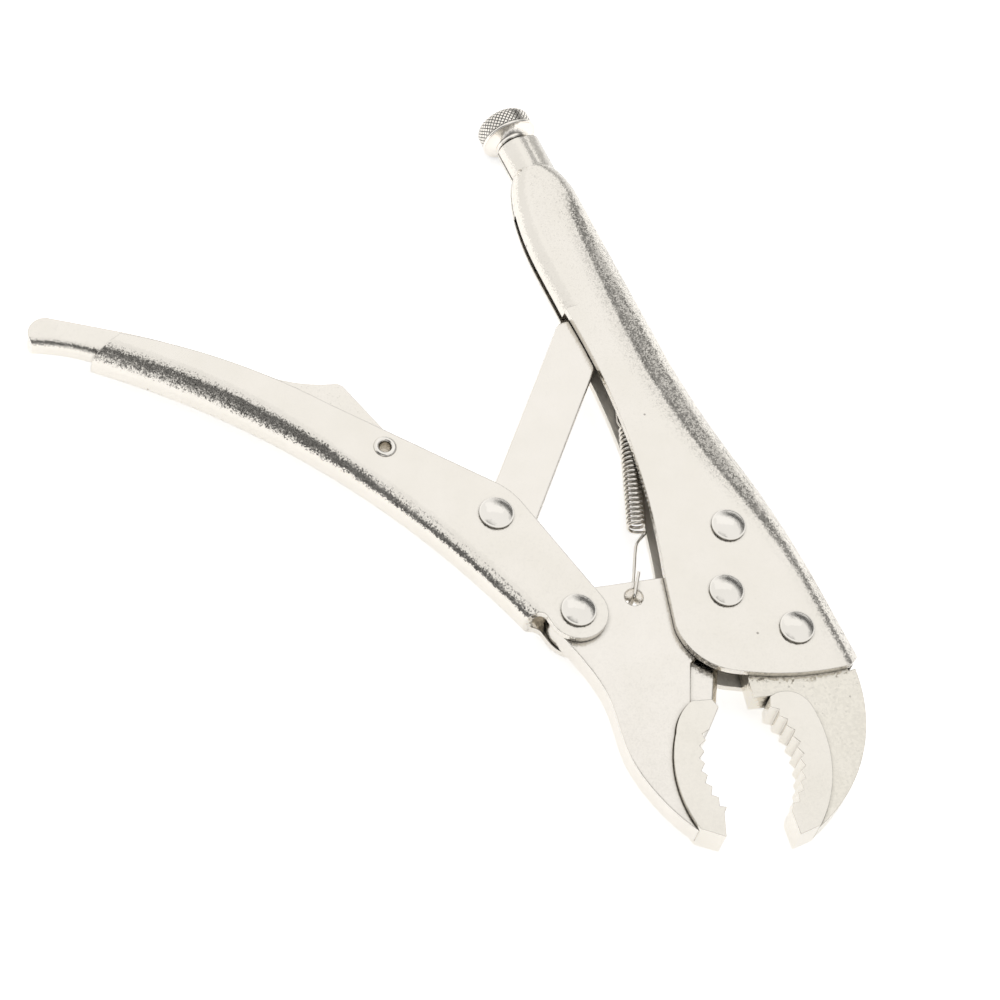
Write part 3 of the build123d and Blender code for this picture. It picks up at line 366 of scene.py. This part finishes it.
def turned_part(name, outline, place, axis, steps):
    """A turned part: an outline of radius and length, spun about an axis through a point."""
    lathe = bmesh.new()
    along = Vector(axis)
    across = Vector((1, 0, 0)) if abs(along.z) > 0.5 else Vector((0, 0, 1))
    corners = [lathe.verts.new(Vector(place) + across * r + along * h) for r, h in outline]
    edges = [lathe.edges.new(pair) for pair in zip(corners, corners[1:])]
    bmesh.ops.spin(
        lathe, geom=corners + edges, cent=place, axis=axis, angle=math.tau, steps=steps,
        use_merge=True,
    )
    bmesh.ops.remove_doubles(lathe, verts=lathe.verts, dist=1e-6)
    bmesh.ops.recalc_face_normals(lathe, faces=lathe.faces)
    smoothed(lathe, crease_angle=0.7)
    return shown(name, lathe)


polished_nickel = plated_steel(
    "polished_nickel", tint=(0.86, 0.825, 0.77), roughness=0.09, grain=0.0006, grain_tilt=0.03,
    ripple_depth=0.00006, edge=0.0001,
)
channel_foot, channel_top = 0.0025, 0.0135
pin_radius, head_radius = 0.00295, 0.0045
dome_top, dome_radius, dome_edge, dome_steps = 0.0153, 0.0092, 0.0044, 12
dome = []
for step in range(dome_steps + 1):
    from_axis = dome_edge * step / dome_steps
    dome.append((from_axis, dome_top - dome_radius + math.sqrt(dome_radius**2 - from_axis**2)))
rim = [(head_radius, 0.0142), (head_radius, 0.0137), (0.00435, channel_top), (pin_radius, channel_top)]
shank = [(pin_radius, channel_foot), (0.0043, channel_foot), (head_radius, 0.0023), (head_radius, 0.0006)]
foot = [(0.0044, 0.00032), (0.0042, 0.00012), (0.0039, 0.0), (0.0, 0.0)]
for rivet, spot, body in (
    ("jaw_pivot_rivet", (0.0, 0.0, 0.0), "fixed_handle"),
    ("jaw_rear_rivet", (-0.0171, 0.0093, 0.0), "fixed_handle"),
    ("jaw_front_rivet", (0.0159, 0.0125, 0.0), "fixed_handle"),
    ("handle_rivet", (-0.008, -0.0388, 0.0), "movable_handle"),
    ("link_rivet", (-0.0409, -0.0467, 0.0), "movable_handle"),
):
    headed = turned_part(rivet + "_headed", dome + rim + shank + foot, spot, (0, 0, 1), steps=72)
    fit(headed, polished_nickel, "rivet", body, rivet)

# Eyelet: hollow rivet of thin tube, rolled outwards over both walls of the movable handle. The
# release lever turns on it.

lever_pivot = (-0.0688, -0.0657, 0.0)
tube_bore, tube_radius, tube_mouth = 0.0015, 0.0022, 0.0131
lip_middle, lip_half, lip_rise, lip_steps = 0.0023, 0.0007, 0.0006, 12
hollow = [(tube_bore, tube_mouth)]
for step in range(lip_steps + 1):
    turn = math.pi * step / lip_steps
    hollow.append((lip_middle - lip_half * math.cos(turn), channel_top + lip_rise * math.sin(turn)))
hollow += [(0.00225, channel_top), (tube_radius, tube_mouth)]
lower_half = [(radius, 2 * mid_height - height) for radius, height in reversed(hollow)]
hollow += lower_half + [(tube_bore, tube_mouth)]
lever_eyelet = turned_part("lever_eyelet_rolled", hollow, lever_pivot, (0, 0, 1), steps=56)
fit(lever_eyelet, polished_nickel, "rivet", "movable_handle", "lever_eyelet")

# Adjusting screw: steel rod with a rolled thread, from the knob through the neck to the link's
# nose. Its thread shows only in the gap under the knob and in the neck's seam.

turned_nickel = plated_steel(
    "turned_nickel", tint=(0.9, 0.86, 0.8), roughness=0.14, grain=0.0004, grain_tilt=0.06,
    ripple_depth=0.00003, edge=0.00008,
)
screw_axis_y = 0.010
thread_start = (-0.154, screw_axis_y, mid_height)
root_radius, crest_radius, core_radius = 0.00255, 0.00316, 0.0026
thread_pitch, turns, steps_per_turn = 0.00125, 48, 24
core_middle, core_length = (-0.1229, screw_axis_y, mid_height), 0.0617
tooth = [
    (root_radius, 0.0), (crest_radius, 0.0005), (crest_radius, 0.00062), (root_radius, 0.00112),
    (root_radius, thread_pitch),
]
thread = bmesh.new()
section = [thread.verts.new((thread_start[0] + x, screw_axis_y, mid_height + r)) for r, x in tooth]
flanks = [thread.edges.new(pair) for pair in zip(section, section[1:])]
bmesh.ops.spin(
    thread, geom=section + flanks, cent=thread_start, axis=(1, 0, 0),
    dvec=(thread_pitch / steps_per_turn, 0, 0), angle=math.tau * turns, steps=steps_per_turn * turns,
)
bmesh.ops.remove_doubles(thread, verts=thread.verts, dist=2e-6)
bmesh.ops.create_cone(
    thread, cap_ends=True, segments=32, radius1=core_radius, radius2=core_radius, depth=core_length,
    matrix=Matrix.Translation(core_middle) @ Matrix.Rotation(math.pi / 2, 4, "Y"),
)
bmesh.ops.recalc_face_normals(thread, faces=thread.faces)
smoothed(thread, crease_angle=0.6)
adjusting_screw = shown("adjusting_screw_threaded", thread)
fit(adjusting_screw, turned_nickel, "turned_steel", "adjusting_screw", "adjusting_screw")

# Knurled knob: turned head of the screw. A collar and a coned underside face the neck, a smooth
# bead closes the grip, and a diamond knurl is rolled round the barrel and over its crown.

knob_base_x = -0.1491
collar = [(0.0033, 0.0), (0.0047, 0.0), (0.005, 0.0003), (0.005, 0.0009), (0.0048, 0.0011)]
cone = [(0.0049, 0.0012), (0.0072, 0.0028), (0.0074, 0.0028)]
bead = [(0.0076, 0.0027), (0.0078, 0.0028), (0.0079, 0.003), (0.0079, 0.0032), (0.0078, 0.0034)]
barrel = [(0.0073, 0.0036), (0.0073, 0.0068), (0.007, 0.0076)]
crown_face = [(0.0058, 0.0083), (0.004, 0.0087), (0.0, 0.0088)]
knob_core = turned_part(
    "knob_core", collar + cone + bead + barrel + crown_face, (knob_base_x, screw_axis_y, mid_height),
    (-1, 0, 0), steps=84,
)
knurl_base, knurl_reach, barrel_length = 0.00355, 0.0061, 0.0034
crown_length, crown_lean = 0.0027, 1.1
bend_radius, bend_depth, bend_height = 0.0049, 0.0024, 0.0017
knurl_radius = 0.0074
girth = math.tau * knurl_radius
knurl = bmesh.new()
bmesh.ops.create_grid(knurl, x_segments=38, y_segments=5, size=0.5)
bmesh.ops.scale(knurl, vec=(girth, knurl_reach, 1), verts=knurl.verts)
straight = list(knurl.edges)
bmesh.ops.poke(knurl, faces=knurl.faces)
bmesh.ops.dissolve_edges(knurl, edges=[e for e in straight if e.is_valid and len(e.link_faces) == 2])
bmesh.ops.inset_individual(
    knurl, faces=knurl.faces, thickness=0.00011, depth=0.00035, use_even_offset=True,
)
for vert in knurl.verts:
    turn = (vert.co.x / girth + 0.5) * math.tau
    climb = vert.co.y + knurl_reach / 2
    lean = max(0.0, climb - barrel_length) / crown_length * crown_lean
    out = bend_radius + (bend_depth + vert.co.z) * math.cos(lean)
    back = knurl_base + min(climb, barrel_length) + (bend_height + vert.co.z) * math.sin(lean)
    vert.co = (
        knob_base_x - back, screw_axis_y + out * math.cos(turn), mid_height + out * math.sin(turn),
    )
bmesh.ops.remove_doubles(knurl, verts=knurl.verts, dist=1e-6)
bmesh.ops.recalc_face_normals(knurl, faces=knurl.faces)
knob_knurl = shown("knob_knurl", knurl)
fit(knob_core, turned_nickel, "turned_steel", "knurled_knob", "knurled_knob")
fit(knob_knurl, turned_nickel, "turned_steel", "knurled_knob", "knurled_knob")

# Opening spring: bright drawn wire, wound close and pulled a little apart. One end goes through
# the jaw's hole and turns back beside itself, the other is hooked over a tongue lanced from the
# fixed handle's wall.

drawn_wire = plated_steel(
    "drawn_wire", tint=(0.82, 0.78, 0.72), roughness=0.2, grain=0.0006, grain_tilt=0.06,
    ripple_depth=0.00001, edge=0.0001,
)
coil_start = Vector((-0.0272, -0.0115, mid_height))
anchor = Vector((-0.0635, 0.00345, mid_height))
hole = Vector((-0.0076, -0.0226, mid_height))
upward = Vector((0, 0, 1))
along = (anchor - coil_start).normalized()
beside = upward.cross(along)
wire_radius, leg_depth, hook_half = 0.00045, 0.0042, 0.0023
coil_radius, coil_pitch, coil_turns, points_per_turn = 0.0023, 0.0014, 22, 16
spread = coil_radius / ((3 + math.cos(math.tau / points_per_turn)) / 4)
winding = []
for step in range(coil_turns * points_per_turn + 1):
    turn = math.tau * step / points_per_turn
    ring = beside * math.sin(turn) - upward * math.cos(turn)
    winding.append(coil_start + along * (coil_pitch * step / points_per_turn) + ring * spread)
lead = coil_start - upward * coil_radius - beside * 0.0022
leg = Vector((lead.x - hole.x, lead.y - hole.y, 0)).normalized()
deep = upward * leg_depth
jaw_end = [
    hole + deep + leg * 0.007, hole + deep + leg * 0.004, hole + deep + leg * 0.0012,
    hole + deep * 0.95, hole + deep * 0.6, hole - deep * 0.6, hole - deep * 0.95,
    hole - deep + leg * 0.0012, hole - deep + leg * 0.005, hole - deep + leg * 0.0095,
    coil_start - upward * 0.003 - along * 0.004,
    coil_start - upward * 0.0024 - along * 0.0026 - beside * 0.0006,
    coil_start - along * 0.0013 - beside * 0.0024,
    coil_start - upward * 0.0012 - along * 0.0006 - beside * 0.0024,
]
grasp = anchor - upward * coil_radius
handle_end = [
    grasp + along * -0.0062 + beside * hook_half, grasp + along * -0.004 + beside * hook_half,
    grasp + along * 0.0005 + beside * hook_half, grasp + along * 0.0018 + beside * 0.0021,
    grasp + along * 0.0019 - beside * 0.0021, grasp + along * 0.0005 - beside * hook_half,
    grasp - along * 0.0026 - beside * hook_half,
]
route = jaw_end + winding + handle_end
line = bpy.data.curves.new("spring_line", "CURVE")
line.dimensions = "3D"
line.bevel_depth = wire_radius
line.bevel_resolution = 4
line.use_fill_caps = True
line.resolution_u = 3
spline = line.splines.new("NURBS")
spline.points.add(len(route) - 1)
for point, spot in zip(spline.points, route):
    point.co = (spot.x, spot.y, spot.z, 1.0)
spline.order_u = 3
spline.use_endpoint_u = True
spring_line = bpy.data.objects.new("spring_line", line)
bpy.context.scene.collection.objects.link(spring_line)
bpy.context.view_layer.update()
wound = spring_line.evaluated_get(bpy.context.evaluated_depsgraph_get())
spring_mesh = bpy.data.meshes.new_from_object(wound)
bpy.data.objects.remove(spring_line)
opening_spring = bpy.data.objects.new("opening_spring_wound", spring_mesh)
bpy.context.scene.collection.objects.link(opening_spring)
for face in spring_mesh.polygons:
    face.use_smooth = True
spring_mesh.materials.clear()
spring_mesh.materials.append(drawn_wire)
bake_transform(opening_spring)
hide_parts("opening_spring")

# Floor: a wide sheet of white card. It keeps a soft shadow, and the camera and the metal see it
# as plain white.

card = bpy.data.materials.new("white_card")
card.use_nodes = True
card_tree = card.node_tree
card_tree.nodes.remove(card_tree.nodes["Principled BSDF"])
matt = card_tree.nodes.new("ShaderNodeBsdfDiffuse")
matt.inputs["Color"].default_value = (0.9, 0.9, 0.9, 1.0)
ray = card_tree.nodes.new("ShaderNodeLightPath").outputs
seen = combined(card_tree, "MAXIMUM", ray["Is Camera Ray"], ray["Is Glossy Ray"])
seen_through = combined(card_tree, "MAXIMUM", seen, ray["Is Transmission Ray"])
glow = card_tree.nodes.new("ShaderNodeEmission")
lift = mapped(card_tree, seen_through, (0.0, 1.0), (0.0, 0.6))
card_tree.links.new(lift, glow.inputs["Strength"])
both = card_tree.nodes.new("ShaderNodeAddShader")
card_tree.links.new(matt.outputs["BSDF"], both.inputs[0])
card_tree.links.new(glow.outputs["Emission"], both.inputs[1])
card_tree.links.new(both.outputs["Shader"], card_tree.nodes["Material Output"].inputs["Surface"])
table = bmesh.new()
bmesh.ops.create_grid(table, x_segments=1, y_segments=1, size=3.0)
floor = shown("floor", table)
floor.data.materials.append(card)

# Dark flags: grey cloth hung round the table, low behind it and high on the side of the camera.
# The rounded folds pick it up as the dark bands of a studio picture. The camera doesn't see it.

table_middle = Vector((-0.04, -0.045, 0.0))
cloth_distance = 0.95


def hang_cloth(name, shade, azimuth, elevation, sides, foot, head):
    """A curved sheet of cloth facing the table between four angles, its edges fading out."""
    cloth = bpy.data.materials.new(name)
    cloth.use_nodes = True
    tree = cloth.node_tree
    tree.nodes.remove(tree.nodes["Principled BSDF"])
    place = tree.nodes.new("ShaderNodeUVMap")
    place.uv_map = "hang"
    spot = axes(tree, place.outputs["UV"])
    fades = []
    for way, start, stop in (("X", sides, 1 - sides), ("Y", foot, head)):
        ramp = tree.nodes.new("ShaderNodeValToRGB")
        ramp.color_ramp.interpolation = "EASE"
        for end, position in zip(ramp.color_ramp.elements, (0.0, 1.0)):
            end.position = position
            end.color = (0, 0, 0, 1)
        for position in (start, stop):
            ramp.color_ramp.elements.new(position).color = (1, 1, 1, 1)
        tree.links.new(spot[way], ramp.inputs["Fac"])
        fades.append(ramp.outputs["Color"])
    clear = tree.nodes.new("ShaderNodeBsdfTransparent")
    woven = tree.nodes.new("ShaderNodeBsdfDiffuse")
    woven.inputs["Color"].default_value = (shade, shade, shade, 1.0)
    hung = tree.nodes.new("ShaderNodeMixShader")
    tree.links.new(combined(tree, "MULTIPLY", *fades), hung.inputs["Fac"])
    tree.links.new(clear.outputs["BSDF"], hung.inputs[1])
    tree.links.new(woven.outputs["BSDF"], hung.inputs[2])
    tree.links.new(hung.outputs["Shader"], tree.nodes["Material Output"].inputs["Surface"])
    strip = bmesh.new()
    bmesh.ops.create_grid(strip, x_segments=32, y_segments=16, size=0.5)
    hang = strip.loops.layers.uv.new("hang")
    for face in strip.faces:
        for loop in face.loops:
            loop[hang].uv = (loop.vert.co.x + 0.5, loop.vert.co.y + 0.5)
    for vert in strip.verts:
        turn = math.radians(azimuth[0] + (vert.co.x + 0.5) * (azimuth[1] - azimuth[0]))
        climb = math.radians(elevation[0] + (vert.co.y + 0.5) * (elevation[1] - elevation[0]))
        level = Vector((math.cos(turn), math.sin(turn), 0.0))
        away = level * math.cos(climb) + Vector((0.0, 0.0, math.sin(climb)))
        vert.co = table_middle + away * cloth_distance
    flag = shown(name, strip)
    flag.data.materials.append(cloth)
    flag.visible_camera = False


hang_cloth("front_cloth", 0.13, azimuth=(-114, 0), elevation=(4, 84), sides=0.17, foot=0.56, head=0.6)
hang_cloth("back_cloth", 0.26, azimuth=(-40, 165), elevation=(1, 46), sides=0.15, foot=0.45, head=0.52)
hang_cloth("low_cloth", 0.16, azimuth=(-110, -50), elevation=(1, 45), sides=0.25, foot=0.2, head=0.5)

# Light: a white sky all round and one wide soft box of white cloth behind the table, to the
# left, which gives the shadow its side.

sky = bpy.data.worlds.new("white_sky")
sky.use_nodes = True
sky.node_tree.nodes["Background"].inputs["Color"].default_value = (1.0, 1.0, 1.0, 1.0)
sky.node_tree.nodes["Background"].inputs["Strength"].default_value = 1.0
bpy.context.scene.world = sky
box_lamp = bpy.data.lights.new("soft_box", "AREA")
box_lamp.shape = "RECTANGLE"
box_lamp.size = 1.0
box_lamp.size_y = 0.8
box_lamp.energy = 0.25
soft_box = bpy.data.objects.new("soft_box", box_lamp)
bpy.context.scene.collection.objects.link(soft_box)
soft_box.location = (-0.72, 0.33, 0.84)
lit_spot = Vector((-0.04, -0.04, 0))
soft_box.rotation_euler = (lit_spot - soft_box.location).to_track_quat("-Z", "Y").to_euler()

# Camera: a long lens above the jaws, turned so that the fixed handle points up and away from it
# and the movable handle lies to the left.

lens = bpy.data.cameras.new("camera")
lens.lens = 112.5
lens.sensor_width = 36.0
lens.clip_start = 0.01
camera = bpy.data.objects.new("camera", lens)
bpy.context.scene.collection.objects.link(camera)
eye = (0.281825, -0.316712, 0.693738)
right = Vector((0.41674, 0.89502, 0.15897))
down = Vector((0.81305, -0.28879, -0.50551))
ahead = Vector((-0.40654, 0.33992, -0.84805))
turned = Matrix((right, -down, -ahead)).transposed().to_4x4()
camera.matrix_world = Matrix.Translation(eye) @ turned
bpy.context.scene.camera = camera
bpy.context.scene.view_settings.view_transform = "Standard"
